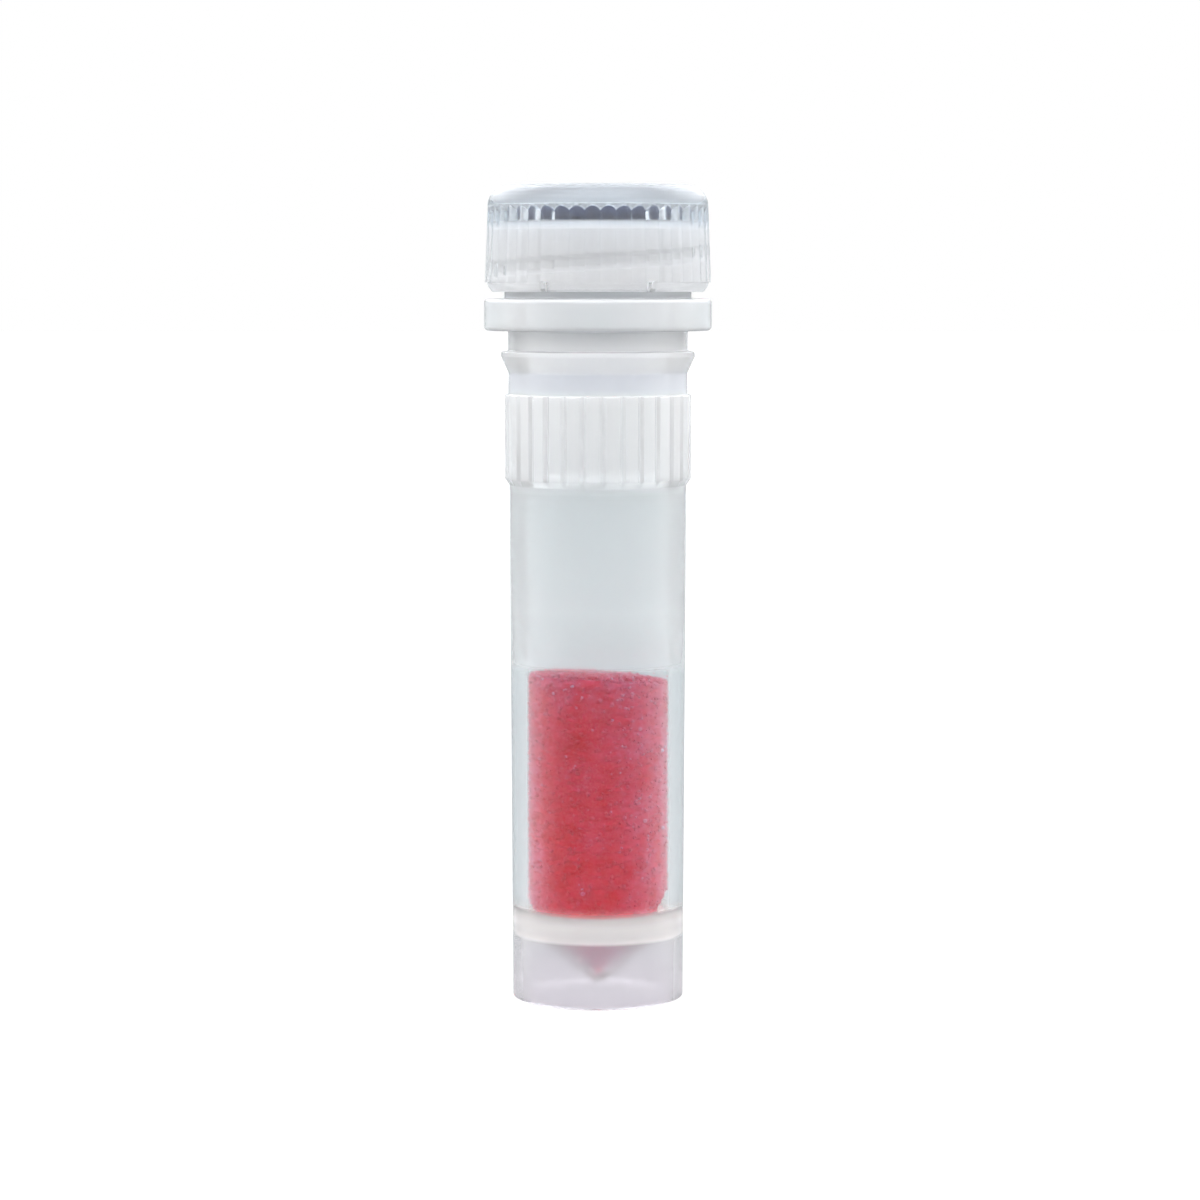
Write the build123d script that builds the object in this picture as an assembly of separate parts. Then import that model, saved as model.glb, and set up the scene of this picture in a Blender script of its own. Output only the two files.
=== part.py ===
from build123d import *
import os
from math import cos, radians, sin, tan

# Self-standing screw-cap microcentrifuge tube, part filled with dry grit.
# Millimetres. +Z is up. The origin is the centre of the ring that the tube stands on.

# Barrel, skirt and cone
FOOT_R = 4.96
BARREL_TOP_R = 5.12
BORE_R = 4.13
SKIRT_BORE_R = 4.25
WEB_Z = 3.88
CONE_TOP_Z = 5.2
CONE_HALF_ANGLE = 49
CONE_WALL = 0.8
INNER_TIP_FILLET = 0.3
OUTER_TIP_FILLET = 0.9

# Fluted band
BAND_LOW_Z = 29.88
BAND_CHAMFER_Z = 30.26
BAND_HIGH_Z = 35.1
BAND_LOW_R = 5.38
BAND_HIGH_R = 5.4
FLUTES = 30
FLUTE_ROOT_R = 5.2
FLUTE_WIDTH = 0.42
FLUTE_PHASE = 9

# Neck, snap ridge and flange
NECK_R = 5.19
NECK_WAIST_R = 5.17
RIDGE_LOW_Z = 36.35
RIDGE_CREST_Z = 37.3
RIDGE_HIGH_Z = 37.64
RIDGE_R = 5.6
RIDGE_TOP_R = 5.57
RIDGE_TOP_Z = 37.56
FLANGE_LOW_Z = 38.77
FLANGE_HIGH_Z = 40.61
FLANGE_R = 6.56

# Threaded finish above the flange
COLLAR_R = 5.39
COLLAR_HIGH_Z = 41.2
COLLAR_CONE_HEIGHT = 0.3
FINISH_R = 4.85
RIM_Z = 44.95
THREAD_PITCH = 2.0
THREAD_CREST_R = 5.36
THREAD_ROOT_HALF = 0.5
THREAD_CREST_HALF = 0.2
THREAD_START_Z = 41.85
THREAD_START_ANGLE = -9
THREAD_TURNS = 1.25

# Cap
CAP_LOW_Z = 41.0
CAP_HIGH_Z = 47.1
LIP_R = 6.36
LIP_LOW_R = 6.08
LIP_EDGE_R = 6.32
LIP_EDGE_Z = 41.32
LIP_TOP_R = 6.23
LIP_HIGH_Z = 41.6
RIB_LOW_Z = 41.47
RIB_HIGH_Z = 45.9
RIB_LOW_R = 6.52
CAP_TOP_R = 6.3
RIB_DEPTH = 0.25
RIBS = 44
RIB_PHASE = 1.35
DOME_FILLET = 1.4
CAP_WALL_R = 5.5
CAP_MOUTH_R = 5.65
CAP_MOUTH_LOW_Z = 41.2
CAP_MOUTH_HIGH_Z = 41.35
CAP_CEILING_Z = 45.96
SEAT_R = 4.95
SEAT_LOW_Z = 44.55
SEAT_HIGH_Z = 45.0
NOTCHES = 6
NOTCH_HIGH_Z = 41.5
NOTCH_LOW_WIDTH = 0.36
NOTCH_HIGH_WIDTH = 0.22
CAP_THREAD_CREST_R = 4.98
CAP_THREAD_DROP = 0.7
CAP_THREAD_TURNS = 1.1

# Centring ring under the cap's ceiling, inside the O-ring
CENTRING_OUTER_R = 3.85
CENTRING_INNER_R = 3.1
CENTRING_LOW_Z = 45.25

# O-ring
RING_RADIUS = 4.4
RING_SECTION_R = 0.475
RING_GAP = 0.03

# Grit
FILL_GAP = 0.05
FILL_HIGH_Z = 18.8

# Corner radii, from the sharpest moulded edge to the softest
TINY_FILLET = 0.05
SMALL_FILLET = 0.1
EDGE_FILLET = 0.15
SOFT_FILLET = 0.2
ROOT_FILLET = 0.3
TIP_SHARE = 0.99  # share of a full tip fillet, which leaves a sliver of flat at the axis

OVERLAP = 0.03  # depth that a thread ridge sinks into its wall
OVERCUT = 0.2  # distance that a cutter runs past the surface it cuts

CONE_SLOPE = tan(radians(CONE_HALF_ANGLE))
CONE_APEX_Z = CONE_TOP_Z - BORE_R / CONE_SLOPE


def polar(radius, angle):
    """Point at a radius and an angle in degrees, in the XY plane."""
    return (radius * cos(radians(angle)), radius * sin(radians(angle)))


def turned(outline):
    """Solid of revolution about Z. The outline lists (radius, height, corner radius)."""
    points = [(radius, height) for radius, height, _ in outline]
    corner_radii = [corner for _, _, corner in outline]
    edges = FilletPolyline(*points, radius=corner_radii, close=True)
    return revolve(Plane.XZ * make_face(edges), Axis.Z)


def rounded_tip(apex_z, fillet):
    """Half-width and height of the flat that a fillet rounds into the tip of the cone."""
    half_width = fillet * tan(radians(90 - CONE_HALF_ANGLE) / 2)
    return half_width, apex_z + half_width / CONE_SLOPE


def helical_ridge(root_r, crest_r, start_z, start_angle, turns):
    """Right-hand thread ridge of trapezoid section, square at both ends."""
    path = Helix(pitch=THREAD_PITCH, height=THREAD_PITCH * turns, radius=root_r, center=(0, 0, start_z))
    section = Polyline(
        (root_r, start_z - THREAD_ROOT_HALF),
        (crest_r, start_z - THREAD_CREST_HALF),
        (crest_r, start_z + THREAD_CREST_HALF),
        (root_r, start_z + THREAD_ROOT_HALF),
        close=True,
    )
    ridge = sweep(Plane.XZ * make_face(section), path=path, is_frenet=True)
    return Rot(0, 0, start_angle) * ridge


def tube_body():
    """Barrel, cone, skirt, fluted band, snap ridge, flange and threaded neck in one moulding."""
    inner_flat, inner_tip_z = rounded_tip(CONE_APEX_Z, INNER_TIP_FILLET)
    outer_apex_z = CONE_APEX_Z - CONE_WALL / sin(radians(CONE_HALF_ANGLE))
    outer_flat, outer_tip_z = rounded_tip(outer_apex_z, OUTER_TIP_FILLET)
    body = turned(
        [
            (0, inner_tip_z, 0),
            (inner_flat, inner_tip_z, INNER_TIP_FILLET * TIP_SHARE),
            (BORE_R, CONE_TOP_Z, ROOT_FILLET),
            (BORE_R, RIM_Z, SMALL_FILLET),
            (FINISH_R, RIM_Z, EDGE_FILLET),
            (FINISH_R, COLLAR_HIGH_Z + COLLAR_CONE_HEIGHT, 0),
            (COLLAR_R, COLLAR_HIGH_Z, 0),
            (COLLAR_R, FLANGE_HIGH_Z, SMALL_FILLET),
            (FLANGE_R, FLANGE_HIGH_Z, SOFT_FILLET),
            (FLANGE_R, FLANGE_LOW_Z, SOFT_FILLET),
            (NECK_R, FLANGE_LOW_Z, SMALL_FILLET),
            (NECK_R, RIDGE_HIGH_Z, 0),
            (RIDGE_TOP_R, RIDGE_TOP_Z, 0),
            (RIDGE_R, RIDGE_CREST_Z, EDGE_FILLET),
            (NECK_WAIST_R, RIDGE_LOW_Z, ROOT_FILLET),
            (NECK_R, BAND_HIGH_Z, 0),
            (BAND_HIGH_R, BAND_HIGH_Z, TINY_FILLET),
            (BAND_LOW_R, BAND_CHAMFER_Z, 0),
            (BARREL_TOP_R, BAND_LOW_Z, 0),
            (FOOT_R, 0, SMALL_FILLET),
            (SKIRT_BORE_R, 0, SMALL_FILLET),
            (SKIRT_BORE_R, WEB_Z, EDGE_FILLET),
            ((WEB_Z - outer_apex_z) * CONE_SLOPE, WEB_Z, SOFT_FILLET),
            (outer_flat, outer_tip_z, OUTER_TIP_FILLET * TIP_SHARE),
            (0, outer_tip_z, 0),
        ]
    )
    thread = helical_ridge(
        FINISH_R - OVERLAP, THREAD_CREST_R, THREAD_START_Z, THREAD_START_ANGLE, THREAD_TURNS
    )
    return body - flutes() + thread


def flutes():
    """V grooves down the fluted band."""
    far_r = 2 * BAND_HIGH_R - FLUTE_ROOT_R
    section = Polyline((FLUTE_ROOT_R, 0), (far_r, FLUTE_WIDTH), (far_r, -FLUTE_WIDTH), close=True)
    height = BAND_HIGH_Z - BAND_LOW_Z + 2 * OVERCUT
    groove = extrude(Pos(0, 0, BAND_LOW_Z - OVERCUT) * make_face(section), height)
    return [Rot(0, 0, FLUTE_PHASE + 360 / FLUTES * i) * groove for i in range(FLUTES)]


def scallops(crest_r, height):
    """Face bounded by one outward arc for each rib of the cap."""
    step = 360 / RIBS
    valley = -90 + RIB_PHASE
    arcs = []
    for i in range(RIBS):
        start = valley + i * step
        arcs.append(
            ThreePointArc(
                polar(crest_r - RIB_DEPTH, start),
                polar(crest_r, start + step / 2),
                polar(crest_r - RIB_DEPTH, start + step),
            )
        )
    return Pos(0, 0, height) * make_face(arcs)


def lip_notches():
    """Small notches, wider below, cut through the cap's lip."""
    low_z = CAP_LOW_Z - OVERCUT
    section = Polyline(
        (-NOTCH_LOW_WIDTH / 2, low_z),
        (-NOTCH_HIGH_WIDTH / 2, NOTCH_HIGH_Z),
        (NOTCH_HIGH_WIDTH / 2, NOTCH_HIGH_Z),
        (NOTCH_LOW_WIDTH / 2, low_z),
        close=True,
    )
    cutter = extrude(Plane.XZ * make_face(section), LIP_R + OVERCUT)
    cutter -= Cylinder(CAP_WALL_R - OVERCUT, 4 * CAP_LOW_Z)
    return [Rot(0, 0, 360 / NOTCHES * (i + 0.5)) * cutter for i in range(NOTCHES)]


def screw_cap():
    """Clear cap: ribbed side, smooth domed top, notched lip, inside thread, seat for the O-ring."""
    # The ribs run out under a crown that widens upward at 45 degrees, which gives them arched tops
    ribbed = loft([scallops(RIB_LOW_R, RIB_LOW_Z), scallops(CAP_TOP_R, CAP_HIGH_Z)], ruled=True)
    crown_low_z = RIB_HIGH_Z - 2 * RIB_DEPTH
    crown_height = CAP_HIGH_Z - crown_low_z
    crown = turned(
        [
            (0, crown_low_z, 0),
            (CAP_TOP_R - 2 * RIB_DEPTH, crown_low_z, 0),
            (CAP_TOP_R - 2 * RIB_DEPTH + crown_height, CAP_HIGH_Z, 0),
            (0, CAP_HIGH_Z, 0),
        ]
    )
    envelope = turned(
        [
            (0, RIB_LOW_Z, 0),
            (RIB_LOW_R, RIB_LOW_Z, 0),
            (CAP_TOP_R, CAP_HIGH_Z, DOME_FILLET),
            (0, CAP_HIGH_Z, 0),
        ]
    )
    lip = turned(
        [
            (0, CAP_LOW_Z, 0),
            (LIP_LOW_R, CAP_LOW_Z, SMALL_FILLET),
            (LIP_EDGE_R, LIP_EDGE_Z, EDGE_FILLET),
            (LIP_R, RIB_LOW_Z, 0),
            (LIP_TOP_R, LIP_HIGH_Z, 0),
            (0, LIP_HIGH_Z, 0),
        ]
    )
    inside = turned(
        [
            (0, CAP_LOW_Z - OVERCUT, 0),
            (CAP_MOUTH_R, CAP_LOW_Z - OVERCUT, 0),
            (CAP_MOUTH_R, CAP_MOUTH_LOW_Z, 0),
            (CAP_WALL_R, CAP_MOUTH_HIGH_Z, 0),
            (CAP_WALL_R, SEAT_LOW_Z, 0),
            (SEAT_R, SEAT_HIGH_Z, 0),
            (SEAT_R, CAP_CEILING_Z, SMALL_FILLET),
            (CENTRING_OUTER_R, CAP_CEILING_Z, SMALL_FILLET),
            (CENTRING_OUTER_R, CENTRING_LOW_Z, EDGE_FILLET),
            (CENTRING_INNER_R, CENTRING_LOW_Z, EDGE_FILLET),
            (CENTRING_INNER_R, CAP_CEILING_Z, SMALL_FILLET),
            (0, CAP_CEILING_Z, 0),
        ]
    )
    thread = helical_ridge(
        CAP_WALL_R + OVERLAP,
        CAP_THREAD_CREST_R,
        THREAD_START_Z,
        THREAD_START_ANGLE + 360 * CAP_THREAD_DROP / THREAD_PITCH,
        CAP_THREAD_TURNS,
    )
    outside = (ribbed + crown) & envelope
    return outside + lip - inside - lip_notches() + thread


def o_ring():
    """Rubber seal between the tube's rim and the cap's ceiling."""
    return Pos(0, 0, RIM_Z + RING_GAP + RING_SECTION_R) * Torus(RING_RADIUS, RING_SECTION_R)


def grain_bed():
    """Outer shape of the settled grit."""
    apex_z = CONE_APEX_Z + FILL_GAP / sin(radians(CONE_HALF_ANGLE))
    flat, tip_z = rounded_tip(apex_z, INNER_TIP_FILLET)
    radius = BORE_R - FILL_GAP
    return turned(
        [
            (0, tip_z, 0),
            (flat, tip_z, INNER_TIP_FILLET * TIP_SHARE),
            (radius, apex_z + radius / CONE_SLOPE, ROOT_FILLET),
            (radius, FILL_HIGH_Z, SOFT_FILLET),
            (0, FILL_HIGH_Z, 0),
        ]
    )


os.makedirs("parts", exist_ok=True)
for make in (tube_body, screw_cap, o_ring, grain_bed):
    export_step(make(), f"parts/{make.__name__}.step")
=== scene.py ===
from math import atan2, ceil, cos, pi, radians, sin, sqrt, tan

import bpy
import numpy as np
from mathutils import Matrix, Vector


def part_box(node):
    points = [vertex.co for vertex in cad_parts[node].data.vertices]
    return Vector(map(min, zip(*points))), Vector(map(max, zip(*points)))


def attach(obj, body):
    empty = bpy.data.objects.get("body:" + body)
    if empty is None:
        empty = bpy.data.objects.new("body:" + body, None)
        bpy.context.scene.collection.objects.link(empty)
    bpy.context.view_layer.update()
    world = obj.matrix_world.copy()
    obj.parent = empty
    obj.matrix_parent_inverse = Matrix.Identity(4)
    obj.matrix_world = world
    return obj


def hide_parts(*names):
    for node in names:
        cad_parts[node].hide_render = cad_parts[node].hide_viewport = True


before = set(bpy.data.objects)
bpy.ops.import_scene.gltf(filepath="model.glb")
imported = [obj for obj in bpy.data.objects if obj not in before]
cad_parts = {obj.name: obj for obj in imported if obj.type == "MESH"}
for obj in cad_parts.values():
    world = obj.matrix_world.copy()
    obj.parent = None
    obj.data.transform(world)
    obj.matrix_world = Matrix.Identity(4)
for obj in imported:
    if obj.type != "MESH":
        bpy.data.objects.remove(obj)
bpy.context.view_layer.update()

# Self-standing screw-cap microcentrifuge tube, part filled with dry grit.
# Sizes are in millimetres, in the CAD's frame, and MM turns them into metres.
MM = 0.001
SEED = 7

# Heights and radii that every piece shares, read from the CAD solids
tube_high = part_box("tube_body")[1] / MM
cap_low, cap_high = (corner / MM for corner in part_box("screw_cap"))
ring_low, ring_high = (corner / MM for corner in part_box("o_ring"))
bed_low, bed_high = (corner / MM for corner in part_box("grain_bed"))
FLANGE_R = tube_high.x
RIM_Z = tube_high.z
CAP_LOW_Z = cap_low.z
CAP_HIGH_Z = cap_high.z
FILL_HIGH_Z = bed_high.z

# Barrel, skirt and cone
FOOT_R = 4.96
BARREL_TOP_R = 5.12
BORE_R = 4.13
SKIRT_BORE_R = 4.25
WEB_Z = 3.88
CONE_TOP_Z = 5.2
CONE_HALF_ANGLE = radians(49)
CONE_WALL = 0.8
OUTER_TIP_FILLET = 0.9
INNER_TIP_FILLET = 0.3
CONE_SLOPE = tan(CONE_HALF_ANGLE)
CONE_APEX_Z = CONE_TOP_Z - BORE_R / CONE_SLOPE
OUTER_APEX_Z = CONE_APEX_Z - CONE_WALL / sin(CONE_HALF_ANGLE)

# Fluted band
BAND_LOW_Z = 29.88
BAND_CHAMFER_Z = 30.26
BAND_HIGH_Z = 35.1
BAND_LOW_R = 5.38
BAND_HIGH_R = 5.4
FLUTES = 30
FLUTE_DEPTH = 0.2
FLUTE_HALF_ANGLE = radians(2.2)
FLUTE_PHASE = radians(9)

# Neck, snap ridge, flange and threaded finish
NECK_R = 5.19
NECK_WAIST_R = 5.17
RIDGE_LOW_Z = 36.35
RIDGE_CREST_Z = 37.3
RIDGE_TOP_Z = 37.56
RIDGE_HIGH_Z = 37.64
RIDGE_R = 5.6
RIDGE_TOP_R = 5.57
FLANGE_LOW_Z = 38.77
FLANGE_HIGH_Z = 40.61
COLLAR_R = 5.39
COLLAR_HIGH_Z = 41.2
COLLAR_CONE_HEIGHT = 0.3
FINISH_R = 4.85

# Threads
THREAD_PITCH = 2.0
THREAD_ROOT_HALF = 0.5
THREAD_CREST_HALF = 0.2
THREAD_START_Z = 41.85
THREAD_START_ANGLE = radians(-9)
THREAD_FADE = radians(14)
TUBE_THREAD_R = 5.36
TUBE_THREAD_TURNS = 1.25
CAP_THREAD_R = 4.98
CAP_THREAD_DROP = 0.7
CAP_THREAD_TURNS = 1.1
CAP_THREAD_START_ANGLE = THREAD_START_ANGLE + 2 * pi * CAP_THREAD_DROP / THREAD_PITCH

# Cap
LIP_R = 6.36
LIP_LOW_R = 6.08
LIP_EDGE_R = 6.32
LIP_EDGE_Z = 41.32
RIB_LOW_Z = 41.47
RIB_HIGH_Z = 45.9
RIB_LOW_R = 6.52
CAP_TOP_R = 6.3
RIB_DEPTH = 0.25
RIB_ARCH = 0.42
RIBS = 44
RIB_PHASE = radians(1.35)
DOME_FILLET = 1.4
RIB_END_Z = RIB_HIGH_Z + 0.3
CAP_WALL_R = 5.5
CAP_MOUTH_R = 5.65
CAP_MOUTH_LOW_Z = 41.2
CAP_MOUTH_HIGH_Z = 41.35
CAP_CEILING_Z = 45.96
SEAT_R = 4.95
CENTRING_OUTER_R = 3.85
CENTRING_INNER_R = 3.1
CENTRING_LOW_Z = 45.25
NOTCHES = 6
NOTCH_TOP_Z = 41.5
NOTCH_FULL_Z = 41.6
NOTCH_INNER_R = 5.3
NOTCH_HALF_ANGLES = (radians(1.02), radians(1.5))

# Grit. A void is the direction, depth and top of a hollow in the fill against the wall
GRIT_GAP = 0.04
GRAIN_SIZES = (0.13, 0.32)
STRAY_SIZES = (0.035, 0.075)
WALL_GRAINS = 7600
TOP_GRAINS = 1900
CONE_GRAINS = 2600
STRAY_GRAINS = 26
VOIDS = [(0, 0.95, 6.9), (pi, 0.5, 6.1)]
VOID_LOW_Z = 3.6
VOID_HALF_ANGLE = radians(38)

# Meshing: steps of the profiles, and the columns across one flute, rib and notch in degrees
ARC_STEP = radians(14)
SUPPORT = 0.05
LONGEST = 1.2
THREAD_STEP = 0.07
RIB_STEP = 0.4
ARCH_STEP = 0.045
ARCH_ZONE = 0.7
SHARP = radians(28)
FLUTE_COLUMNS = (-2.75, -2.2, -1.25, -0.4, 0.4, 1.25, 2.2, 2.75, 4.35, 6.0, 7.65)
RIB_COLUMNS = (0, 0.3, 0.9, 1.8, 2.9, 4.09, 5.28, 6.38, 7.28, 7.88)
NOTCH_COLUMNS = (-1.55, -1.5, -1.02, 1.02, 1.5, 1.55)

# Radii between which the plastic's look changes: at the cone's edge, and halfway through the walls
CONE_EDGE = (3.9, 3.7)
TUBE_WALL_MIDDLE = (4.6, 4.5)
CAP_WALL_MIDDLE = (CAP_WALL_R + 0.2, CAP_WALL_R + 0.1)

# The web and skirt shade the grit in the cone, so painted light brightens it: its red is set above 1 to
# show pink
CONE_GRIT_PAINTED_LIGHT = (2.2, 0.12, 0.42, 1)

# Soft light round the tube, from in front (0) by the sides (0.5) to behind (1)
AROUND = [
    (0.0, (0.2, 0.2, 0.2)),
    (0.1, (0.2, 0.2, 0.2)),
    (0.27, (0.5, 0.5, 0.5)),
    (0.39, (0.85, 0.85, 0.85)),
    (0.5, (1.05, 1.05, 1.05)),
    (0.66, (1.05, 1.06, 1.07)),
    (0.8, (0.55, 0.58, 0.60)),
    (1.0, (0.53, 0.57, 0.59)),
]

# Light from above; a dimmer glow from the floor round the foot and inside the skirt, which is a painted
# contact shadow
ABOVE = (2.9, 2.9, 2.94)
FLOOR_SHADOW_ROUND_FOOT = (0.63, 0.62, 0.65)
FLOOR_SHADOW_IN_RING = (0.58, 0.56, 0.61)
WHITE = (1, 1, 1, 1)
HORIZON_TOP = radians(5)
ABOVE_FROM = radians(18)
FLOOR_SHADE_END = 8
FLOOR_LIT_FROM = 20

# Camera, in metres from the origin
CAMERA_PLACE = (0.00012, -0.2113, 0.0414)
CAMERA_TILT = radians(85.07)
LENS = 109.6
SENSOR_WIDTH = 36
FLOOR_SIZE = 6
FLOOR_DROP = 0.00002


def rounded(corners, longest=LONGEST):
    """Polyline through (radius, height, fillet) corners, with an arc for each fillet."""
    points = [np.array(corners[0][:2], float)]
    for before, corner, after in zip(corners, corners[1:], corners[2:]):
        tip, fillet = np.array(corner[:2], float), corner[2]
        if not fillet:
            points.append(tip)
            continue
        back = np.array(before[:2]) - tip
        back /= np.linalg.norm(back)
        onward = np.array(after[:2]) - tip
        onward /= np.linalg.norm(onward)
        half = np.arccos(np.clip(back @ onward, -1, 1)) / 2
        inward = (back + onward) / np.linalg.norm(back + onward)
        centre = tip + inward * fillet / sin(half)
        start = back * fillet / tan(half) + tip - centre
        first = atan2(start[1], start[0])
        last_point = onward * fillet / tan(half) + tip - centre
        sweep = (atan2(last_point[1], last_point[0]) - first + pi) % (2 * pi) - pi
        steps = max(2, ceil(abs(sweep) / ARC_STEP))
        for i in range(steps + 1):
            turn = first + sweep * i / steps
            points.append(centre + fillet * np.array([cos(turn), sin(turn)]))
    points.append(np.array(corners[-1][:2], float))
    return divided(points, longest)


def divided(points, longest):
    """The polyline with long segments cut up, and a support point near each of their ends."""
    result = [points[0]]
    for start, end in zip(points, points[1:]):
        length = np.linalg.norm(end - start)
        shares = [1]
        if length > 4 * SUPPORT:
            edge = SUPPORT / length
            count = max(1, ceil(length / longest))
            shares = [edge + (1 - 2 * edge) * i / count for i in range(count + 1)] + [1]
        result += [start + (end - start) * share for share in shares if length > 0]
    return np.array(result)


def new_object(name, vertices, faces):
    """Mesh object from vertices in millimetres, riding nowhere yet."""
    mesh = bpy.data.meshes.new(name)
    mesh.from_pydata(vertices * MM, [], faces)
    mesh.validate()
    item = bpy.data.objects.new(name, mesh)
    bpy.context.scene.collection.objects.link(item)
    return item


def lathe(name, profile, angles, warp=None):
    """Closed turned mesh. The profile runs from the axis up the outside and back to the axis."""
    rings = profile[1:-1]
    columns = len(angles)
    turn = np.tile(angles, (len(rings), 1))
    radius = np.repeat(rings[:, :1], columns, axis=1)
    height = np.repeat(rings[:, 1:], columns, axis=1)
    if warp:
        radius, height = warp(radius, height, turn)
    grid = np.stack([radius * np.cos(turn), radius * np.sin(turn), height], axis=2)
    poles = [(0, 0, profile[0][1]), (0, 0, profile[-1][1])]
    vertices = np.concatenate([grid.reshape(-1, 3), poles])
    column = np.arange(columns)
    following = (column + 1) % columns
    faces = []
    for ring in range(len(rings) - 1):
        low, high = ring * columns, (ring + 1) * columns
        faces += np.stack([low + column, low + following, high + following, high + column], 1).tolist()
    first_pole = len(vertices) - 2
    last = (len(rings) - 1) * columns
    faces += [(first_pole, b, a) for a, b in zip(column.tolist(), following.tolist())]
    faces += [(first_pole + 1, last + a, last + b) for a, b in zip(column.tolist(), following.tolist())]
    item = new_object(name, vertices, faces)
    item.data.shade_smooth()
    item.data.set_sharp_from_angle(angle=SHARP)
    return item


def softened(share):
    """Smooth step from 0 to 1 of a share clipped to that range."""
    share = np.clip(share, 0, 1)
    return share * share * (3 - 2 * share)


def thread_share(height, turn, start_angle, turns):
    """Height of a right-hand thread ridge at each point, from 0 at its root to 1 at its crest."""
    total = 2 * pi * turns
    share = np.zeros_like(height)
    for lap in range(int(turns) + 2):
        along = (turn - start_angle) % (2 * pi) + 2 * pi * lap
        offset = np.abs(height - THREAD_START_Z - THREAD_PITCH * along / (2 * pi))
        ridge = softened((THREAD_ROOT_HALF - offset) / (THREAD_ROOT_HALF - THREAD_CREST_HALF))
        ends = softened(along / THREAD_FADE) * softened((total - along) / THREAD_FADE)
        share = np.maximum(share, ridge * ends)
    return share


def between(value, low, high):
    """Mask of the values from low to high."""
    return (value >= low) & (value <= high)


def angle_from_nearest(turn, count, phase):
    """Signed angle from the nearest of so many evenly spaced directions."""
    pitch = 2 * pi / count
    return (turn - phase + pitch / 2) % pitch - pitch / 2


def make_tube():
    """Barrel, cone, skirt, fluted band, snap ridge, flange and threaded neck as one fine shell."""
    tip_share = tan((pi / 2 - CONE_HALF_ANGLE) / 2)
    outer_flat = OUTER_TIP_FILLET * tip_share
    corners = [
        (0, OUTER_APEX_Z + outer_flat / CONE_SLOPE, 0),
        (outer_flat, OUTER_APEX_Z + outer_flat / CONE_SLOPE, OUTER_TIP_FILLET - 0.02),
        ((WEB_Z - OUTER_APEX_Z) * CONE_SLOPE, WEB_Z, 0.25),
        (SKIRT_BORE_R, WEB_Z, 0.18),
        (SKIRT_BORE_R, 0, 0.12),
        (FOOT_R, 0, 0.14),
        (BARREL_TOP_R, BAND_LOW_Z, 0.06),
        (BAND_LOW_R, BAND_CHAMFER_Z, 0.06),
        (BAND_HIGH_R, BAND_HIGH_Z, 0.07),
        (NECK_R, BAND_HIGH_Z, 0.05),
        (NECK_WAIST_R, RIDGE_LOW_Z, 0.3),
        (RIDGE_R, RIDGE_CREST_Z, 0.15),
        (RIDGE_TOP_R, RIDGE_TOP_Z, 0.05),
        (NECK_R, RIDGE_HIGH_Z, 0.04),
        (NECK_R, FLANGE_LOW_Z, 0.12),
        (FLANGE_R, FLANGE_LOW_Z, 0.25),
        (FLANGE_R, FLANGE_HIGH_Z, 0.22),
        (COLLAR_R, FLANGE_HIGH_Z, 0.1),
        (COLLAR_R, COLLAR_HIGH_Z, 0.05),
        (FINISH_R, COLLAR_HIGH_Z + COLLAR_CONE_HEIGHT, 0.05),
    ]
    outside = rounded(corners + [(FINISH_R, RIM_Z - 0.3, 0)])
    threaded = [(FINISH_R, z) for z in np.arange(COLLAR_HIGH_Z + 0.45, RIM_Z - 0.3, THREAD_STEP)]
    outside = outside[outside[:, 1] < COLLAR_HIGH_Z + 0.4]
    inner_flat = INNER_TIP_FILLET * tip_share
    inside = rounded(
        [
            (FINISH_R, RIM_Z - 0.3, 0),
            (FINISH_R, RIM_Z, 0.15),
            (BORE_R, RIM_Z, 0.12),
            (BORE_R, CONE_TOP_Z, 0.3),
            (inner_flat, CONE_APEX_Z + inner_flat / CONE_SLOPE, INNER_TIP_FILLET - 0.01),
            (0, CONE_APEX_Z + inner_flat / CONE_SLOPE, 0),
        ]
    )
    profile = np.concatenate([outside, threaded, inside])

    def warp(radius, height, turn):
        offset = np.abs(angle_from_nearest(turn, FLUTES, FLUTE_PHASE)) / FLUTE_HALF_ANGLE
        depth = FLUTE_DEPTH * np.clip(1 - offset, 0, 1)
        cut = BAND_HIGH_R - depth
        band = between(height, BAND_LOW_Z - 0.1, BAND_HIGH_Z + 0.01) & (radius > NECK_R)
        radius = np.where(band, np.minimum(radius, cut), radius)
        share = thread_share(height, turn, THREAD_START_ANGLE, TUBE_THREAD_TURNS)
        finish_zone = between(radius, FINISH_R - 0.02, FINISH_R + 0.02) & (height > COLLAR_HIGH_Z)
        radius = np.where(finish_zone, radius + (TUBE_THREAD_R - FINISH_R) * share, radius)
        return radius, height

    flutes = FLUTE_PHASE + 2 * pi / FLUTES * np.arange(FLUTES)[:, None]
    angles = (flutes + np.radians(FLUTE_COLUMNS)).ravel()
    return lathe("tube_shell", profile, angles, warp)


def rib_radius(crest_r, turn):
    """Radius of a ring of convex ribs, each a circular arc between two valleys."""
    half = pi / RIBS
    valley_r = crest_r - RIB_DEPTH
    centre = (crest_r**2 - valley_r**2) / (2 * (crest_r - valley_r * cos(half)))
    offset = (turn + pi / 2 - RIB_PHASE) % (2 * half) - half
    return centre * np.cos(offset) + np.sqrt((crest_r - centre) ** 2 - (centre * np.sin(offset)) ** 2)


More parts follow.
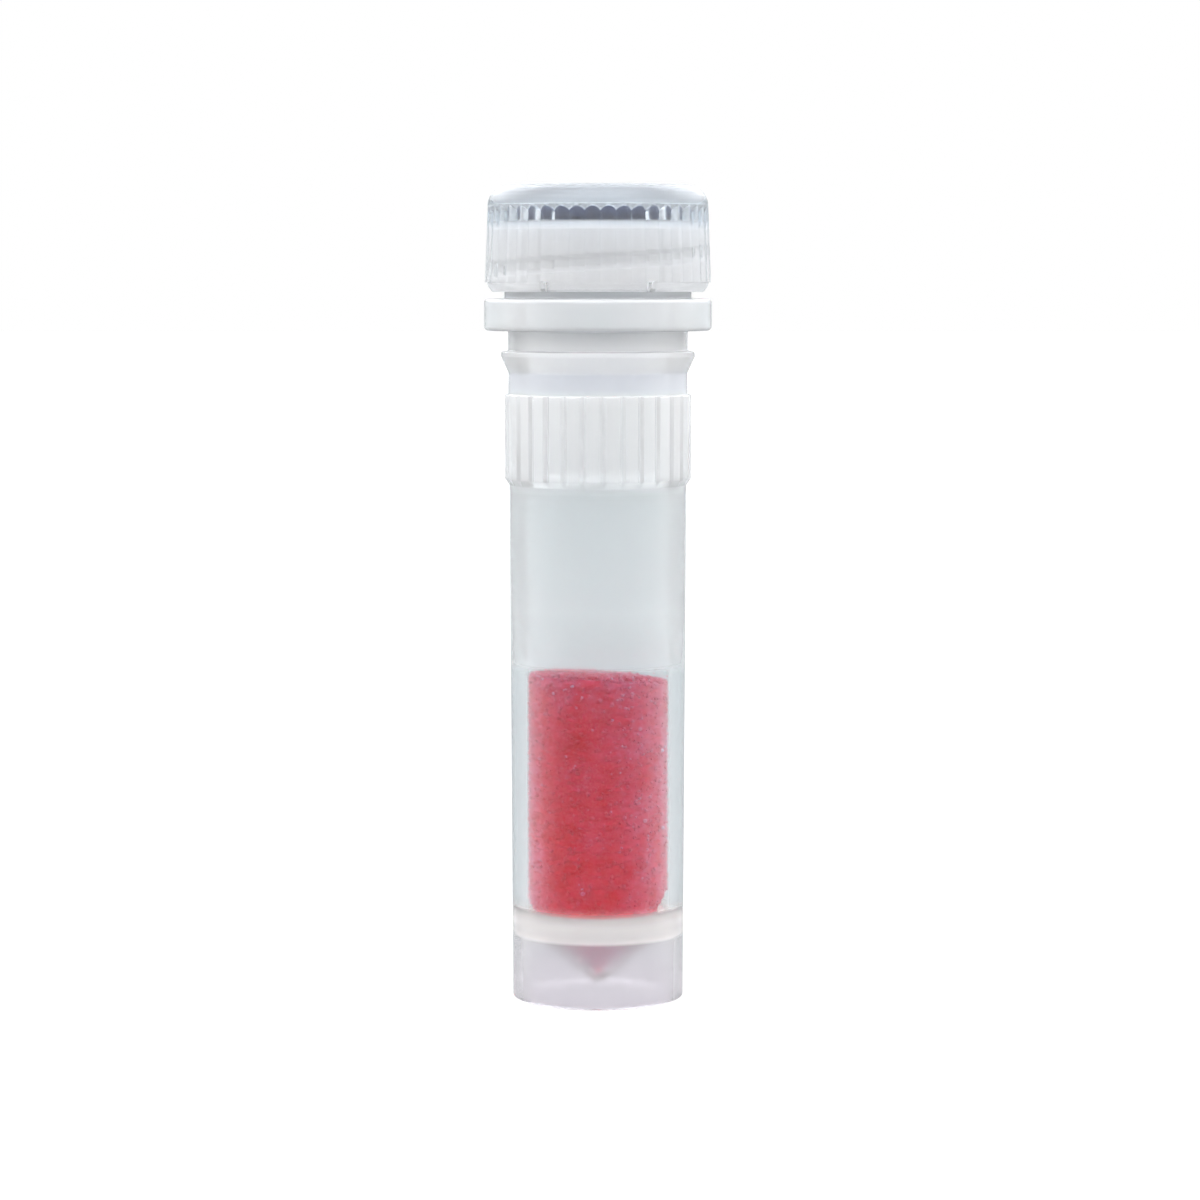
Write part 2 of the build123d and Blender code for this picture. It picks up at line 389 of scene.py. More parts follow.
def make_cap():
    """Clear cap: ribbed side with arched rib tops, domed top, notched lip, inside thread and seat."""
    inside = rounded(
        [
            (0, CAP_CEILING_Z, 0),
            (CENTRING_INNER_R, CAP_CEILING_Z, 0.12),
            (CENTRING_INNER_R, CENTRING_LOW_Z, 0.15),
            (CENTRING_OUTER_R, CENTRING_LOW_Z, 0.15),
            (CENTRING_OUTER_R, CAP_CEILING_Z, 0.12),
            (SEAT_R, CAP_CEILING_Z, 0.12),
            (SEAT_R, RIM_Z + 0.05, 0.08),
            (CAP_WALL_R, RIM_Z - 0.4, 0.08),
            (CAP_WALL_R, RIM_Z - 0.6, 0),
        ]
    )
    wall_low_z = CAP_MOUTH_HIGH_Z + THREAD_STEP
    wall = [(CAP_WALL_R, z) for z in np.arange(RIM_Z - 0.65, wall_low_z, -THREAD_STEP)]
    lip = rounded(
        [
            (CAP_WALL_R, wall_low_z, 0),
            (CAP_WALL_R, CAP_MOUTH_HIGH_Z, 0.03),
            (CAP_MOUTH_R, CAP_MOUTH_LOW_Z, 0.03),
            (CAP_MOUTH_R, CAP_LOW_Z, 0.06),
            (LIP_LOW_R, CAP_LOW_Z, 0.12),
            (LIP_EDGE_R, LIP_EDGE_Z, 0.15),
            (LIP_R, RIB_LOW_Z, 0.03),
            (LIP_R - 0.03, RIB_LOW_Z + 0.06, 0),
        ],
        longest=0.12,
    )
    side_r = RIB_LOW_R + 0.02
    arches_z = RIB_HIGH_Z - ARCH_ZONE
    ribs = [(side_r, z) for z in (RIB_LOW_Z + 0.08, NOTCH_FULL_Z, NOTCH_FULL_Z + 0.2)]
    ribs += [(side_r, z) for z in np.arange(NOTCH_FULL_Z + 0.6, arches_z, RIB_STEP)]
    ribs += [(side_r, z) for z in np.arange(arches_z + SUPPORT, RIB_HIGH_Z + 0.1, ARCH_STEP)]
    slope = (RIB_LOW_R - CAP_TOP_R) / (CAP_HIGH_Z - RIB_LOW_Z)
    dome = rounded(
        [
            (RIB_LOW_R - slope * (RIB_HIGH_Z + 0.05 - RIB_LOW_Z), RIB_HIGH_Z + 0.05, 0),
            (CAP_TOP_R, CAP_HIGH_Z, DOME_FILLET * 0.84),
            (0, CAP_HIGH_Z, 0),
        ],
        longest=0.7,
    )
    dome = dome[dome[:, 1] > RIB_HIGH_Z + 0.12]
    profile = np.concatenate([inside[:-1], wall, lip, ribs, dome])

    def warp(radius, height, turn):
        crest = RIB_LOW_R - slope * (height - RIB_LOW_Z)
        crown = crest - RIB_DEPTH * (RIB_HIGH_Z - height) / RIB_ARCH
        ribbed = np.maximum(rib_radius(crest, turn), np.minimum(crown, crest))
        side = (radius > side_r - 0.001) & (height > RIB_LOW_Z)
        shoulder = (height > arches_z) & (height <= RIB_END_Z) & (radius > CAP_WALL_R) & ~side
        radius = np.where(side, ribbed, radius)
        radius = np.where(shoulder, np.minimum(radius, ribbed), radius)
        share = thread_share(height, turn, CAP_THREAD_START_ANGLE, CAP_THREAD_TURNS)
        bore = between(radius, CAP_WALL_R - 0.01, CAP_WALL_R + 0.01)
        bore &= between(height, CAP_MOUTH_HIGH_Z + 0.01, RIM_Z - 0.5)
        radius = np.where(bore, radius - (CAP_WALL_R - CAP_THREAD_R) * share, radius)
        offset = np.abs(angle_from_nearest(turn, NOTCHES, 0))
        narrow, wide = NOTCH_HALF_ANGLES
        raised = (NOTCH_TOP_Z - CAP_LOW_Z) * np.clip((wide - offset) / (wide - narrow), 0, 1)
        low = (height < NOTCH_FULL_Z) & (radius > NOTCH_INNER_R)
        lifted = height + raised * (NOTCH_FULL_Z - height) / (NOTCH_FULL_Z - CAP_LOW_Z)
        return radius, np.where(low, lifted, height)

    # Columns of the ribs and the notches together, less any that all but coincide
    valleys = -pi / 2 + RIB_PHASE + 2 * pi / RIBS * np.arange(RIBS)[:, None]
    notches = 2 * pi / NOTCHES * np.arange(NOTCHES)[:, None]
    columns = [valleys + np.radians(RIB_COLUMNS), notches + np.radians(NOTCH_COLUMNS)]
    angles = np.concatenate([group.ravel() for group in columns]) % (2 * pi)
    angles = np.unique(np.round(angles, 5))
    kept = np.concatenate([[True], np.diff(angles) > 2e-4])
    return lathe("cap_shell", profile, angles[kept], warp)


def make_ring():
    """Rubber seal with the fine flash line that its mould leaves round the outside."""
    section = (ring_high.z - ring_low.z) / 2
    radius = ring_high.x - section
    middle = (ring_high.z + ring_low.z) / 2
    around, across = 256, 40
    flash_height = 0.012
    turn = np.linspace(0, 2 * pi, around, endpoint=False)[:, None]
    tilt = np.linspace(0, 2 * pi, across, endpoint=False)[None, :]
    flash = flash_height * np.exp(-((angle_from_nearest(tilt, 2, 0) / 0.12) ** 2))
    reach = section - flash_height + flash + 0 * turn
    x = (radius + reach * np.cos(tilt)) * np.cos(turn)
    y = (radius + reach * np.cos(tilt)) * np.sin(turn)
    z = middle + reach * np.sin(tilt)
    vertices = np.stack([x, y, z], axis=2).reshape(-1, 3)
    i = np.arange(around)[:, None]
    j = np.arange(across)[None, :]
    after_i, after_j = (i + 1) % around, (j + 1) % across
    row, after_row = i * across, after_i * across
    faces = np.stack([row + j, after_row + j, after_row + after_j, row + after_j], axis=2)
    item = new_object("seal_ring", vertices, faces.reshape(-1, 4).tolist())
    item.data.shade_smooth()
    return item


def wave(x, y, z, scale, phase):
    """Smooth, repeatable unevenness between -1 and 1."""
    a = np.sin(scale * x + 1.7 * phase) * np.cos(0.8 * scale * y - phase)
    b = np.sin(1.9 * scale * y + 2.3 * phase) * np.cos(1.4 * scale * z + phase)
    c = np.sin(2.7 * scale * z - 0.6 * phase) * np.cos(2.2 * scale * x + 3.1 * phase)
    return (a + b + c) / 3


def fill_top(x, y):
    """Height of the grit's top: a low uneven mound, highest in front and left of centre."""
    mound = 0.0128 * (x + 1.3) ** 2 + 0.006 * y**2 + 0.0225 * x + 0.05 * y
    return FILL_HIGH_Z + 0.12 - mound + 0.05 * wave(x, y, 0, 2.1, 1) + 0.03 * wave(x, y, 0, 6.3, 2)


def fill_radius(z, turn):
    """Radius that the grit reaches: the cone and bore, less a void at the foot of either side."""
    wall = np.minimum((z - CONE_APEX_Z) * CONE_SLOPE, BORE_R)
    for direction, depth, high_z in VOIDS:
        rise = np.clip((high_z - z) / (high_z - CONE_TOP_Z), 0, 1) ** 2 * softened((z - VOID_LOW_Z) / 1.2)
        side = np.exp(-((angle_from_nearest(turn, 1, direction) / VOID_HALF_ANGLE) ** 2))
        wall = wall - depth * rise * side * (1 + 0.35 * wave(z, turn * 4, z, 3.7, 3))
    uneven = 0.1 * wave(1.6 * np.cos(turn), 1.6 * np.sin(turn), z, 6.7, 5)
    uneven = uneven + 0.08 * wave(4 * np.cos(turn), 4 * np.sin(turn), 1.5 * z, 5.3, 2)
    return np.minimum(wall - 0.09 + uneven, wall - GRIT_GAP)


def make_core():
    """The grit's dense inside, one closed lumpy solid that the loose grains are bedded in."""
    tip_z = bed_low.z + 0.25
    in_cone = np.linspace(tip_z + 0.1, CONE_TOP_Z, 34)
    in_bore = np.linspace(CONE_TOP_Z, FILL_HIGH_Z - 0.1, 98)[1:]
    side = [(1, z) for z in (*in_cone, *in_bore)]
    top = [(share, FILL_HIGH_Z) for share in np.linspace(0.97, 0.03, 30)]
    profile = np.array([(0, tip_z)] + side + top + [(0, FILL_HIGH_Z - 0.3)])

    def warp(radius, height, turn):
        lumps = 0.04 * wave(4 * np.cos(turn), 4 * np.sin(turn), height, 9.1, 1)
        wall = np.maximum(fill_radius(height, turn) - 0.02 + np.minimum(lumps, 0), 0.05)
        is_top = height > FILL_HIGH_Z - 0.01
        across = np.where(is_top, radius * (fill_radius(FILL_HIGH_Z, turn) - 0.02), wall)
        x, y = across * np.cos(turn), across * np.sin(turn)
        top_z = fill_top(x, y) - 0.08 + 0.03 * wave(x, y, 0, 11, 4)
        side_z = np.minimum(height, top_z - 0.1 * (FILL_HIGH_Z - height))
        return across, np.where(is_top, top_z, side_z)

    return lathe("grit_core", profile, np.linspace(0, 2 * pi, 240, endpoint=False), warp)


def grains(name, centres, sizes, rng):
    """Cluster of loose, sharp-cornered grains, each an uneven 20-sided lump."""
    golden = (1 + sqrt(5)) / 2
    corners = np.array(
        [(0, a, b * golden) for a in (-1, 1) for b in (-1, 1)]
        + [(a, b * golden, 0) for a in (-1, 1) for b in (-1, 1)]
        + [(b * golden, 0, a) for a in (-1, 1) for b in (-1, 1)]
    ) / sqrt(1 + golden**2)
    # Corners that share a side are 1.05 apart, and all others 1.7 or more
    near = np.linalg.norm(corners[:, None] - corners[None], axis=2) < 1.1
    sides = [
        (i, j, k)
        for i in range(12)
        for j in range(i + 1, 12)
        for k in range(j + 1, 12)
        if near[i, j] and near[j, k] and near[i, k]
    ]
    outward = [
        side if np.linalg.det(corners[list(side)]) > 0 else (side[0], side[2], side[1]) for side in sides
    ]
    count = len(centres)
    shape = corners * rng.uniform(0.72, 1.18, (count, 12, 1)) * rng.uniform(0.6, 1.0, (count, 1, 3))
    spins = np.linalg.qr(rng.normal(size=(count, 3, 3)))[0]
    spins[:, :, 0] *= np.sign(np.linalg.det(spins))[:, None]
    points = np.einsum("nij,nkj->nki", spins, shape) * sizes[:, None, None] + centres[:, None, :]
    reach = np.linalg.norm(points[:, :, :2], axis=2)
    limit = np.minimum((points[:, :, 2] - CONE_APEX_Z) * CONE_SLOPE, BORE_R) - 0.012
    points[:, :, :2] *= np.minimum(1, np.maximum(limit, 0.02) / np.maximum(reach, 1e-6))[:, :, None]
    points[:, :, 2] = np.minimum(points[:, :, 2], FILL_HIGH_Z + 3)
    faces = np.array(outward)[None] + 12 * np.arange(count)[:, None, None]
    return new_object(name, points.reshape(-1, 3), faces.reshape(-1, 3).tolist())


def make_grit():
    """Loose grains against the wall, in the cone and over the mound, and a few left higher up."""
    rng = np.random.default_rng(SEED)
    small, large = GRAIN_SIZES

    count = WALL_GRAINS
    turn = rng.uniform(0, 2 * pi, count)
    z = rng.uniform(CONE_TOP_Z - 0.2, FILL_HIGH_Z, count)
    size = rng.uniform(small, large, count) / 2 * 1.2
    radius = fill_radius(z, turn) - size * 0.5 - rng.uniform(-0.04, 0.14, count)
    x, y = radius * np.cos(turn), radius * np.sin(turn)
    kept = z < fill_top(x, y) - size * 0.1
    wall = grains("grit_wall", np.stack([x, y, z], 1)[kept], size[kept], rng)

    count = TOP_GRAINS
    turn = rng.uniform(0, 2 * pi, count)
    radius = (BORE_R - 0.15) * np.sqrt(rng.uniform(0, 1, count))
    x, y = radius * np.cos(turn), radius * np.sin(turn)
    size = rng.uniform(small, large, count) / 2 * 1.25
    z = fill_top(x, y) - rng.uniform(-0.07, 0.2, count)
    stray_turn = rng.uniform(0, 2 * pi, STRAY_GRAINS)
    stray_z = FILL_HIGH_Z + 0.1 + 1.6 * rng.uniform(0, 1, STRAY_GRAINS) ** 2
    stray_size = rng.uniform(*STRAY_SIZES, STRAY_GRAINS)
    stray_r = BORE_R - 0.02 - stray_size
    stray = np.stack([stray_r * np.cos(stray_turn), stray_r * np.sin(stray_turn), stray_z], 1)
    centres = np.concatenate([np.stack([x, y, z], 1), stray])
    top = grains("grit_top", centres, np.concatenate([size, stray_size]), rng)

    count = CONE_GRAINS
    turn = rng.uniform(0, 2 * pi, count)
    z = CONE_APEX_Z + 0.12 + (CONE_TOP_Z - CONE_APEX_Z) * np.sqrt(rng.uniform(0, 1, count))
    size = rng.uniform(small, large, count) / 2 * 1.1
    radius = np.maximum(fill_radius(z, turn) - size * 1.2 - rng.uniform(0, 0.1, count), 0)
    cone = grains("grit_cone", np.stack([radius * np.cos(turn), radius * np.sin(turn), z], 1), size, rng)
    return [make_core(), wall, top, cone]


class Nodes:
    """A material's node tree, with short calls to add nodes and join them."""

    def __init__(self, name, settings, library=bpy.data.materials):
        self.material = library.new(name)
        self.material.use_nodes = True
        self.tree = self.material.node_tree
        kinds = ("BSDF_PRINCIPLED", "BACKGROUND")
        self.shader = next(node for node in self.tree.nodes if node.type in kinds)
        for socket, value in settings.items():
            self.shader.inputs[socket].default_value = value

    def add(self, kind, settings=None, **properties):
        node = self.tree.nodes.new(kind)
        for key, value in properties.items():
            setattr(node, key, value)
        for socket, value in (settings or {}).items():
            node.inputs[socket].default_value = value
        return node

    def join(self, source, target):
        self.tree.links.new(source, target)

    def place(self):
        return self.add("ShaderNodeTexCoord").outputs["Object"]

    def noise(self, scale, detail=2.0, roughness=0.5):
        node = self.add("ShaderNodeTexNoise", {"Scale": scale, "Detail": detail, "Roughness": roughness})
        self.join(self.place(), node.inputs["Vector"])
        return node.outputs["Fac"]

    def ramp(self, source, *stops):
        node = self.add("ShaderNodeValToRGB")
        points = node.color_ramp.elements
        while len(points) < len(stops):
            points.new(0.5)
        for point, (position, colour) in zip(points, stops):
            point.position = position
            point.color = colour if len(colour) == 4 else (*colour, 1)
        self.join(source, node.inputs["Fac"])
        return node.outputs["Color"]

    def stretch(self, source, low, high, to_low=0.0, to_high=1.0):
        node = self.add("ShaderNodeMapRange", {1: low, 2: high, 3: to_low, 4: to_high})
        self.join(source, node.inputs[0])
        return node.outputs[0]

    def blend(self, share, first, second, mode="MIX"):
        node = self.add("ShaderNodeMix", data_type="RGBA", blend_type=mode)
        for socket, value in ((0, share), (6, first), (7, second)):
            if isinstance(value, (int, float, tuple)):
                node.inputs[socket].default_value = value
            else:
                self.join(value, node.inputs[socket])
        return node.outputs[2]

    def larger(self, first, second):
        node = self.add("ShaderNodeMath", operation="MAXIMUM")
        self.join(first, node.inputs[0])
        self.join(second, node.inputs[1])
        return node.outputs[0]

    def height(self):
        node = self.add("ShaderNodeSeparateXYZ")
        self.join(self.place(), node.inputs[0])
        return node.outputs["Z"]

    def by_height(self, *stops):
        """Colour or grey value by height along the tube, from (height, value) stops."""
        share = self.stretch(self.height(), 0, CAP_HIGH_Z * MM)
        places = [z / CAP_HIGH_Z for z, _ in stops]
        colours = [value if isinstance(value, tuple) else (value,) * 3 for _, value in stops]
        return self.ramp(share, *zip(places, colours))

    def inside_of(self, edge):
        """Share that rises from 0 to 1 inwards, between the two radii of an edge."""
        return self.stretch(self.radius(), edge[0] * MM, edge[1] * MM)

    def radius(self):
        """Distance from the tube's axis."""
        flat = self.add("ShaderNodeVectorMath", {1: (1, 1, 0)}, operation="MULTIPLY")
        self.join(self.place(), flat.inputs[0])
        length = self.add("ShaderNodeVectorMath", operation="LENGTH")
        self.join(flat.outputs[0], length.inputs[0])
        return length.outputs["Value"]

    def bump(self, source, distance, strength=1.0):
        node = self.add("ShaderNodeBump", {"Distance": distance, "Strength": strength})
        self.join(source, node.inputs["Height"])
        self.join(node.outputs["Normal"], self.shader.inputs["Normal"])


def tube_material():
    """Natural polypropylene: milky above the grit, clear where grit lies against it, creamy at the web,
    with painted light that lifts the shade under the flange and at the collar.
    """
    nodes = Nodes(
        "frosted_polypropylene",
        {
            "IOR": 1.49,
            "Subsurface Weight": 1.0,
            "Subsurface Radius": (1, 1, 1),
            "Subsurface Scale": 0.0012,
            "Subsurface Anisotropy": 0.8,
        },
    )
    clouds = nodes.ramp(nodes.noise(90, 2), (0.3, (0.96, 0.965, 0.97)), (0.7, (1, 1, 1)))
    tint = nodes.by_height(
        (0, (0.88, 0.855, 0.89)),
        (WEB_Z - 0.3, (0.89, 0.875, 0.90)),
        (WEB_Z, (1.0, 0.96, 0.90)),
        (CONE_TOP_Z - 0.1, (1.0, 0.96, 0.90)),
        (CONE_TOP_Z + 0.5, (0.90, 0.93, 0.94)),
        (BAND_LOW_Z - 1, (0.82, 0.875, 0.885)),
        (BAND_LOW_Z + 0.5, (0.83, 0.86, 0.87)),
        (BAND_HIGH_Z - 0.1, (0.83, 0.86, 0.87)),
        (BAND_HIGH_Z + 0.3, (0.76, 0.77, 0.79)),
        (RIDGE_LOW_Z, (0.77, 0.78, 0.80)),
        (RIDGE_CREST_Z, (0.90, 0.92, 0.94)),
        # painted light: white from above the ridge up to the flange, lifting the shade under the flange
        (RIDGE_HIGH_Z + 0.1, (1.0, 1.0, 1.0)),
        (FLANGE_LOW_Z - 0.1, (1.0, 1.0, 1.0)),
        (FLANGE_LOW_Z + 0.1, (0.80, 0.835, 0.86)),
        (FLANGE_HIGH_Z, (0.80, 0.835, 0.86)),
        # painted light: lighter at the collar, lifting the shade between the flange and the cap
        (COLLAR_HIGH_Z, (0.97, 0.975, 0.98)),
        (COLLAR_HIGH_Z + 0.4, (0.93, 0.94, 0.95)),
        (RIM_Z, (0.93, 0.94, 0.95)),
    )
    in_cone = nodes.inside_of(CONE_EDGE)
    cone_tint = nodes.by_height((WEB_Z - 0.15, (1.0, 0.965, 0.98)), (WEB_Z, (1.0, 0.96, 0.90)))
    tint = nodes.blend(in_cone, tint, cone_tint)
    nodes.join(nodes.blend(1.0, tint, clouds, "MULTIPLY"), nodes.shader.inputs["Base Color"])
    inside = nodes.inside_of(TUBE_WALL_MIDDLE)
    clear_outside = nodes.by_height(
        (0, 0.88),
        (WEB_Z - 0.15, 0.88),
        (WEB_Z, 0.6),
        (CONE_TOP_Z - 0.5, 0.6),
        (CONE_TOP_Z + 0.6, 0.987),
        (FILL_HIGH_Z + 0.4, 0.987),
        (FILL_HIGH_Z + 0.9, 0.86),
        (FILL_HIGH_Z + 4, 0.8),
        (BAND_LOW_Z - 0.5, 0.8),
        (BAND_LOW_Z + 0.3, 0.62),
        (BAND_HIGH_Z + 0.2, 0.5),
        (FLANGE_HIGH_Z, 0.6),
        (COLLAR_HIGH_Z, 0.4),
        (RIM_Z, 0.4),
    )
    clear_inside = nodes.by_height(
        (0, 0.96),
        (WEB_Z - 0.15, 0.96),
        (WEB_Z, 0.25),
        (CONE_TOP_Z - 0.2, 0.25),
        (CONE_TOP_Z + 0.05, 0.99),
        (FILL_HIGH_Z + 0.2, 0.99),
        (FILL_HIGH_Z + 0.7, 0.86),
        (FILL_HIGH_Z + 4, 0.8),
        (RIM_Z, 0.8),
    )
    clear_cone = nodes.by_height((WEB_Z - 0.15, 0.93), (WEB_Z, 0.25))
    clear = nodes.blend(in_cone, nodes.blend(inside, clear_outside, clear_inside), clear_cone)
    nodes.join(clear, nodes.shader.inputs["Transmission Weight"])
    outer_haze = nodes.stretch(nodes.noise(420, 3), 0.3, 0.7, 0.06, 0.1)
    inner_haze = nodes.by_height(
        (0, 0.26),
        (CONE_TOP_Z - 0.2, 0.26),
        (CONE_TOP_Z, 0.08),
        (FILL_HIGH_Z + 0.4, 0.08),
        (FILL_HIGH_Z + 4, 0.265),
        (RIM_Z, 0.265),
    )
    nodes.join(nodes.blend(inside, outer_haze, inner_haze), nodes.shader.inputs["Roughness"])
    return nodes.material


def cap_material():
    """Clear plastic with a faint cool tint and painted shade that makes the dome darker; milky inside below
    the rim.
    """
    nodes = Nodes(
        "clear_cap_plastic",
        {
            "IOR": 1.5,
            "Subsurface Weight": 1.0,
            "Subsurface Radius": (1, 1, 1),
            "Subsurface Scale": 0.0012,
            "Subsurface Anisotropy": 0.8,
        },
    )
    tint = nodes.by_height(
        (CAP_LOW_Z, (0.97, 0.975, 0.98)),
        (RIM_Z - 0.4, (0.92, 0.935, 0.95)),
        (RIM_Z, (0.86, 0.93, 1.0)),
        (RIB_HIGH_Z, (0.86, 0.93, 1.0)),
        # painted shade: the dome's tint is far darker, dimming it under the bright light from above
        (RIB_END_Z, (0.49, 0.525, 0.56)),
    )
    clouds = nodes.ramp(nodes.noise(160, 2), (0.3, (0.97, 0.98, 0.99)), (0.7, (1, 1, 1)))
    nodes.join(nodes.blend(1.0, tint, clouds, "MULTIPLY"), nodes.shader.inputs["Base Color"])
    inside = nodes.inside_of(CAP_WALL_MIDDLE)
    clear_outside = nodes.by_height((CAP_LOW_Z, 0.93), (RIB_HIGH_Z - 0.1, 0.94), (RIB_HIGH_Z + 0.5, 0.75))
    clear_inside = nodes.by_height(
        (RIM_Z - 0.1, 0.15),
        (RIM_Z + 0.1, 0.97),
        (CAP_CEILING_Z - 0.1, 0.97),
        (CAP_CEILING_Z, 0.85),
    )
    nodes.join(nodes.blend(inside, clear_outside, clear_inside), nodes.shader.inputs["Transmission Weight"])
    outer_haze = nodes.stretch(nodes.noise(700, 3), 0.3, 0.7, 0.17, 0.22)
    inner_haze = nodes.by_height(
        (RIM_Z - 0.1, 0.5),
        (RIM_Z + 0.1, 0.1),
        (CAP_CEILING_Z - 0.1, 0.1),
        (CAP_CEILING_Z, 0.45),
    )
    nodes.join(nodes.blend(inside, outer_haze, inner_haze), nodes.shader.inputs["Roughness"])
    return nodes.material


def ring_material():
    """Dark blue-grey rubber with a fine matt grain."""
    nodes = Nodes("seal_rubber", {"IOR": 1.52, "Specular IOR Level": 0.3})
    grain = nodes.noise(1500, 4)
    colour = nodes.ramp(grain, (0.3, (0.008, 0.022, 0.085)), (0.7, (0.022, 0.045, 0.13)))
    nodes.join(colour, nodes.shader.inputs["Base Color"])
    nodes.join(nodes.stretch(grain, 0.2, 0.8, 0.45, 0.7), nodes.shader.inputs["Roughness"])
    nodes.bump(nodes.noise(4000, 3), 0.00001, 0.5)
    return nodes.material


def grit_nodes(name, settings):
    """Red grit with soft clouds, pinker at its sides and top, and strongly so in the shaded cone; the pink
    at the sides and in the cone is painted light.
    """
    sheen = {"Sheen Weight": 0.4, "Sheen Roughness": 0.5, "Sheen Tint": (1, 0.72, 0.84, 1)}
    nodes = Nodes(name, {"Specular IOR Level": 0.15, **sheen, **settings})
    parts = nodes.add("ShaderNodeSeparateXYZ")
    nodes.join(nodes.place(), parts.inputs[0])
    # painted light: pinker towards both sides across the view, for light coming through the edge grains and
    # the wall's haze
    right = nodes.stretch(parts.outputs["X"], 0.5 * MM, 4 * MM)
    left = nodes.stretch(parts.outputs["X"], -2.6 * MM, -4.2 * MM)
    high = nodes.stretch(parts.outputs["Z"], (FILL_HIGH_Z - 2.2) * MM, FILL_HIGH_Z * MM)
    # below the cone's top the grit takes painted light, a brighter pink, in the shade of the web and skirt
    low = nodes.stretch(parts.outputs["Z"], (CONE_TOP_Z - 0.4) * MM, (CONE_TOP_Z - 1.2) * MM)
    red = nodes.ramp(nodes.noise(450, 3, 0.6), (0.35, (0.88, 0.002, 0.03)), (0.68, (0.99, 0.05, 0.13)))
    pink = nodes.ramp(nodes.noise(450, 3, 0.6), (0.35, (0.95, 0.05, 0.13)), (0.68, (0.98, 0.19, 0.35)))
    pinker = nodes.larger(nodes.larger(right, left), high)
    return nodes, nodes.blend(low, nodes.blend(pinker, red, pink), CONE_GRIT_PAINTED_LIGHT)


def grit_material():
    """Loose grains: each its own shade, a few of them pale, a few of them glossy."""
    nodes, clouds = grit_nodes("red_grit", {"Roughness": 0.35, "Transmission Weight": 0.15, "IOR": 1.3})
    own = nodes.add("ShaderNodeNewGeometry").outputs["Random Per Island"]
    shade = nodes.ramp(
        own,
        (0.0, (0.97, 0.8, 0.85)),
        (0.3, (1, 1, 1)),
        (0.75, (1, 1.4, 1.3)),
        (0.95, (1.01, 2.6, 2)),
        (1.0, (1.02, 6, 4)),
    )
    nodes.join(nodes.blend(1.0, clouds, shade, "MULTIPLY"), nodes.shader.inputs["Base Color"])
    nodes.join(nodes.stretch(own, 0.992, 0.995), nodes.shader.inputs["Coat Weight"])
    nodes.bump(nodes.noise(5000, 2), 0.00001, 0.4)
    return nodes.material


def core_material():
    """The grit's inside, mottled at the grains' own size."""
    nodes, clouds = grit_nodes(
        "red_grit_inside",
        {
            "Roughness": 0.7,
            "Subsurface Weight": 1.0,
            "Subsurface Radius": (1.0, 0.35, 0.4),
            "Subsurface Scale": 0.0003,
        },
    )
    mottle = nodes.noise(4200, 3, 0.6)
    fine = nodes.ramp(mottle, (0.3, (0.96, 0.7, 0.7)), (0.7, (1.02, 1.4, 1.3)))
    nodes.join(nodes.blend(1.0, clouds, fine, "MULTIPLY"), nodes.shader.inputs["Base Color"])
    nodes.bump(mottle, 0.00003, 0.5)
    return nodes.material


def finish(item, material, body, slot, *nodes):
    """Gives a piece its material and its body, and hides the CAD nodes that it stands for."""
    item.data.materials.clear()
    item.data.materials.append(material)
    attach(item, body)
    if nodes:
        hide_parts(*nodes)


def light_around(nodes, direction):
    """Colour of the light round the tube in each direction, whatever its height."""
    flat = nodes.add("ShaderNodeVectorMath", {1: (1, 1, 0)}, operation="MULTIPLY")
    nodes.join(direction, flat.inputs[0])
    unit = nodes.add("ShaderNodeVectorMath", operation="NORMALIZE")
    nodes.join(flat.outputs[0], unit.inputs[0])
    parts = nodes.add("ShaderNodeSeparateXYZ")
    nodes.join(unit.outputs[0], parts.inputs[0])
    return nodes.ramp(nodes.stretch(parts.outputs["Y"], -1, 1), *AROUND)


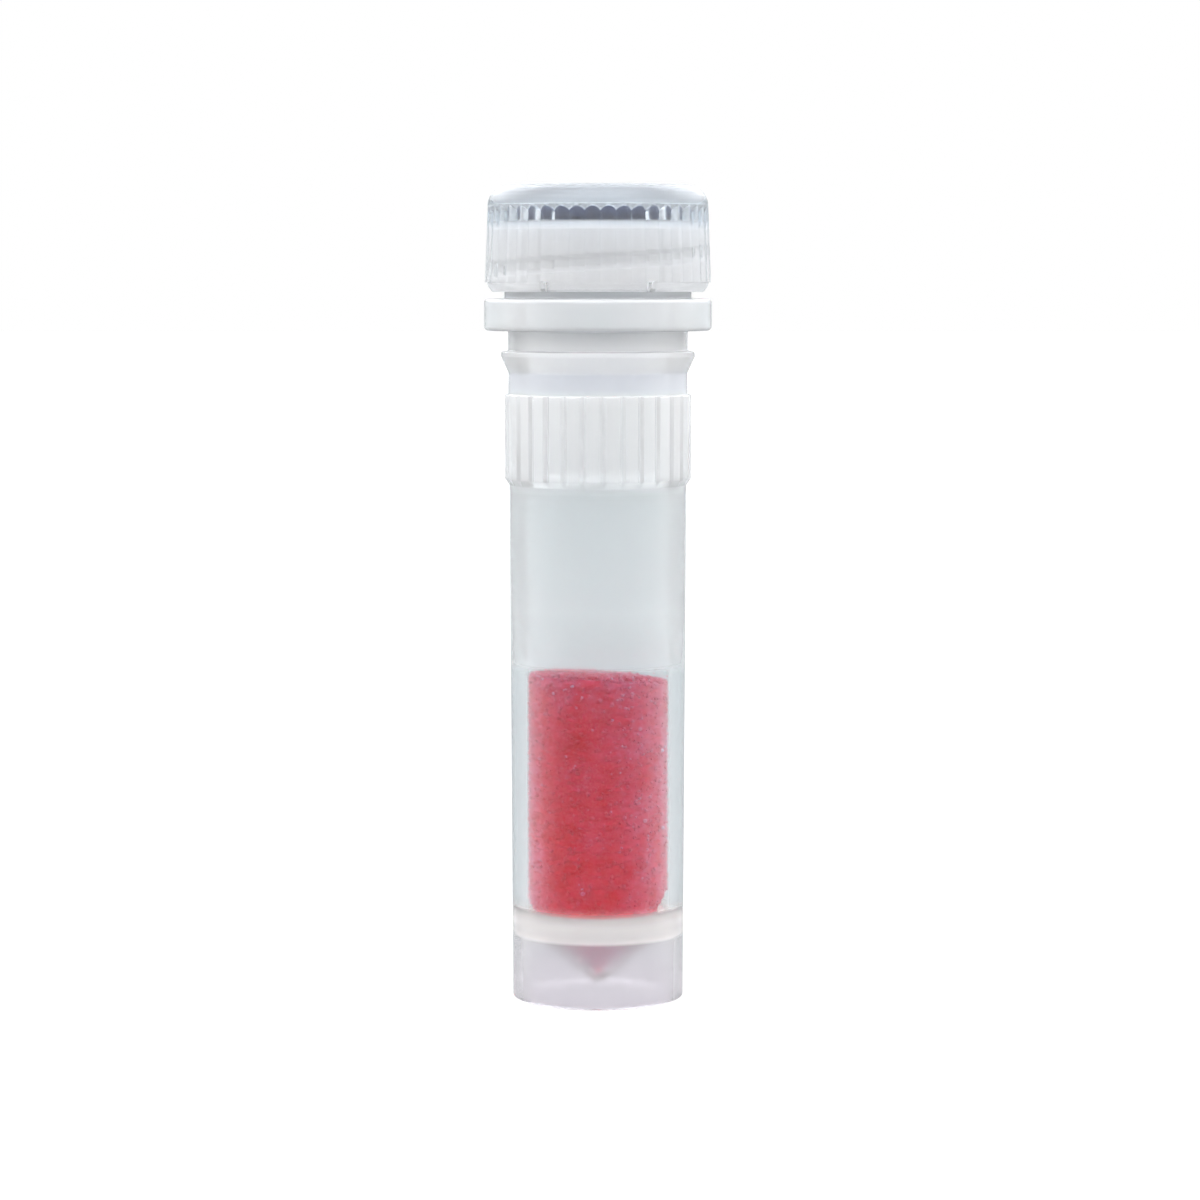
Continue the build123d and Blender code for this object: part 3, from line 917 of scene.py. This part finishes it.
def floor_material():
    """Plain white to the eye; the light that it gives the tube is graded from front to back, and dimmed
    round the foot as a painted contact shadow.
    """
    nodes = Nodes(
        "pale_floor", {"Base Color": (0.02, 0.02, 0.02, 1), "Roughness": 0.9, "Emission Strength": 1.0}
    )
    beyond_ring = nodes.stretch(nodes.radius(), SKIRT_BORE_R * MM, FOOT_R * MM)
    # painted contact shadow: the floor's glow is dimmer inside the skirt and round the foot
    shaded = nodes.blend(beyond_ring, (*FLOOR_SHADOW_IN_RING, 1), (*FLOOR_SHADOW_ROUND_FOOT, 1))
    far = nodes.stretch(nodes.radius(), FLOOR_SHADE_END * MM, FLOOR_LIT_FROM * MM)
    glow = nodes.blend(far, shaded, light_around(nodes, nodes.place()))
    seen = nodes.add("ShaderNodeLightPath").outputs["Is Camera Ray"]
    nodes.join(nodes.blend(seen, glow, WHITE), nodes.shader.inputs["Emission Color"])
    return nodes.material


def studio_world():
    """Plain white to the eye; the light that it gives the tube is brightest from above."""
    nodes = Nodes("studio", {}, bpy.data.worlds)
    direction = nodes.add("ShaderNodeTexCoord").outputs["Generated"]
    parts = nodes.add("ShaderNodeSeparateXYZ")
    nodes.join(direction, parts.inputs[0])
    rise = nodes.stretch(parts.outputs["Z"], sin(HORIZON_TOP), sin(ABOVE_FROM))
    glow = nodes.blend(rise, light_around(nodes, direction), (*ABOVE, 1))
    seen = nodes.add("ShaderNodeLightPath").outputs["Is Camera Ray"]
    nodes.join(nodes.blend(seen, glow, WHITE), nodes.shader.inputs["Color"])
    return nodes.material


def studio():
    """Pale floor, soft surrounding light, and the camera."""
    scene = bpy.context.scene
    bpy.ops.mesh.primitive_grid_add(
        size=FLOOR_SIZE, x_subdivisions=2, y_subdivisions=2, location=(0, 0, -FLOOR_DROP)
    )
    floor = bpy.context.object
    floor.name = "floor"
    floor.data.materials.append(floor_material())
    scene.world = studio_world()

    lens = bpy.data.cameras.new("camera")
    lens.lens = LENS
    lens.sensor_width = SENSOR_WIDTH
    camera = bpy.data.objects.new("camera", lens)
    camera.location = CAMERA_PLACE
    camera.rotation_euler = (CAMERA_TILT, 0, 0)
    scene.collection.objects.link(camera)
    scene.camera = camera
    scene.view_settings.view_transform = "Standard"


finish(make_tube(), tube_material(), "tube", "frosted_polypropylene", "tube_body")
finish(make_cap(), cap_material(), "cap", "clear_cap_plastic", "screw_cap")
finish(make_ring(), ring_material(), "seal", "seal_rubber", "o_ring")
core, *loose = make_grit()
finish(core, core_material(), "tube", "red_grit", "grain_bed")
grain_look = grit_material()
for piece in loose:
    finish(piece, grain_look, "tube", "red_grit")
studio()
